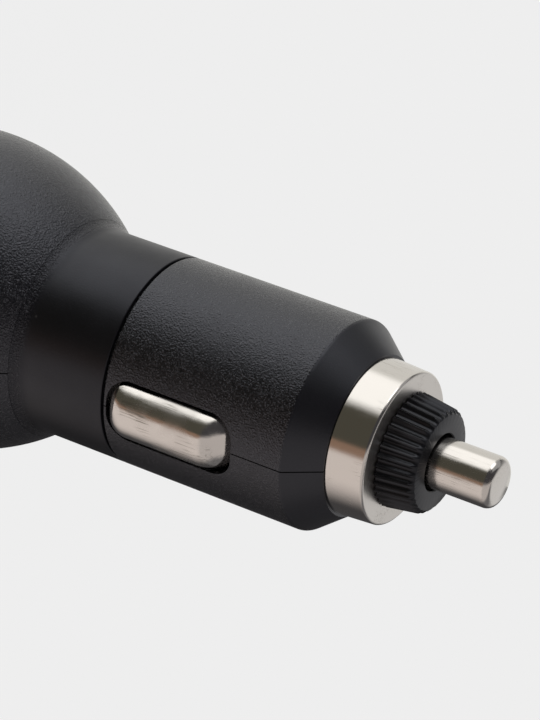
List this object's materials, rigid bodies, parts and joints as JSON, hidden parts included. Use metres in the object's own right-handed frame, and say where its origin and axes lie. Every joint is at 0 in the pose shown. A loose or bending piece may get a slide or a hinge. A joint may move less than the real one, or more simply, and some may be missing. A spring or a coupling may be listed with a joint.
{
  "type": "car usb charger",
  "caption": "Plug-in car charger for a 12 V lighter socket: bulbous head with a USB port, straight barrel with spring side contacts, plated ring, knurled nut and sprung tip.",
  "frame": {"origin": "centre of the flat face of the head, where the port is; the part stands on it", "axes": "+Z runs along the plug to the tip; X passes through both side contacts; the parting plane of the housing is Y = 0, front half at -Y"},
  "size_m": [0.0318, 0.0318, 0.0718],
  "materials": {
    "grained_plastic": "black, fine spark-eroded grain",
    "smooth_plastic": "black, smooth satin",
    "nut_plastic": "black, smooth, knurled",
    "nickel": "bright nickel plate",
    "spring_nickel": "bright nickel plate with fine rub marks",
    "spring_steel": "drawn wire",
    "brass": "plain stamped",
    "copper": "lacquered copper wire",
    "tin": "tinned",
    "fuse_glass": "clear tube",
    "board": "green solder mask",
    "tongue_plastic": "white moulding",
    "led_lens": "red tinted lens",
    "ferrite": "sintered ferrite",
    "can_aluminium": "bare can",
    "package_plastic": "moulded epoxy",
    "chip_ceramic": "ceramic"
  },
  "bodies": {
    "body": {"housing_half_front": "grained_plastic", "housing_half_back": "grained_plastic", "neck_sleeve": "smooth_plastic", "face_plate": "smooth_plastic", "nose_ring": "nickel", "tip_spring": "spring_steel", "spring_seat": "brass", "circuit_board": "board", "usb_socket_shell": "nickel", "usb_tongue": "tongue_plastic", "usb_contacts": "brass", "indicator_led": "led_lens", "led_leads": "tin", "inductor_core": "ferrite", "inductor_winding": "copper", "input_capacitor": "can_aluminium", "output_capacitor": "can_aluminium", "regulator_ic": "package_plastic", "ic_leads": "tin", "rectifier_diode": "package_plastic", "smd_resistors": "package_plastic", "smd_capacitors": "chip_ceramic"},
    "tip": {"tip_contact": "nickel", "fuse_glass": "fuse_glass", "fuse_cap_front": "nickel", "fuse_cap_rear": "nickel", "fuse_wire": "tin"},
    "nut": {"nose_nut": "nut_plastic"},
    "contact_left": {"side_contact_left": "spring_nickel"},
    "contact_right": {"side_contact_right": "spring_nickel"}
  },
  "joints": [
    {"name": "tip_press", "type": "slide", "parent": "body", "child": "tip", "axis": [0, 0, 1], "range_m": [-0.004, 0], "stiffness_N_per_m": 600, "springref_m": 0.004, "deforming": ["tip_spring"]},
    {"name": "nut_turn", "type": "hinge", "parent": "body", "child": "nut", "pos_m": [0, 0, 0.0633], "axis": [0, 0, 1], "range_deg": [0, 1080]},
    {"name": "left_contact_press", "type": "hinge", "parent": "body", "child": "contact_left", "pos_m": [-0.0063, 0, 0.02925], "axis": [0, 1, 0], "range_deg": [0, 4], "stiffness_Nm_per_rad": 0.7},
    {"name": "right_contact_press", "type": "hinge", "parent": "body", "child": "contact_right", "pos_m": [0.0063, 0, 0.02925], "axis": [0, -1, 0], "range_deg": [0, 4], "stiffness_Nm_per_rad": 0.7}
  ]
}
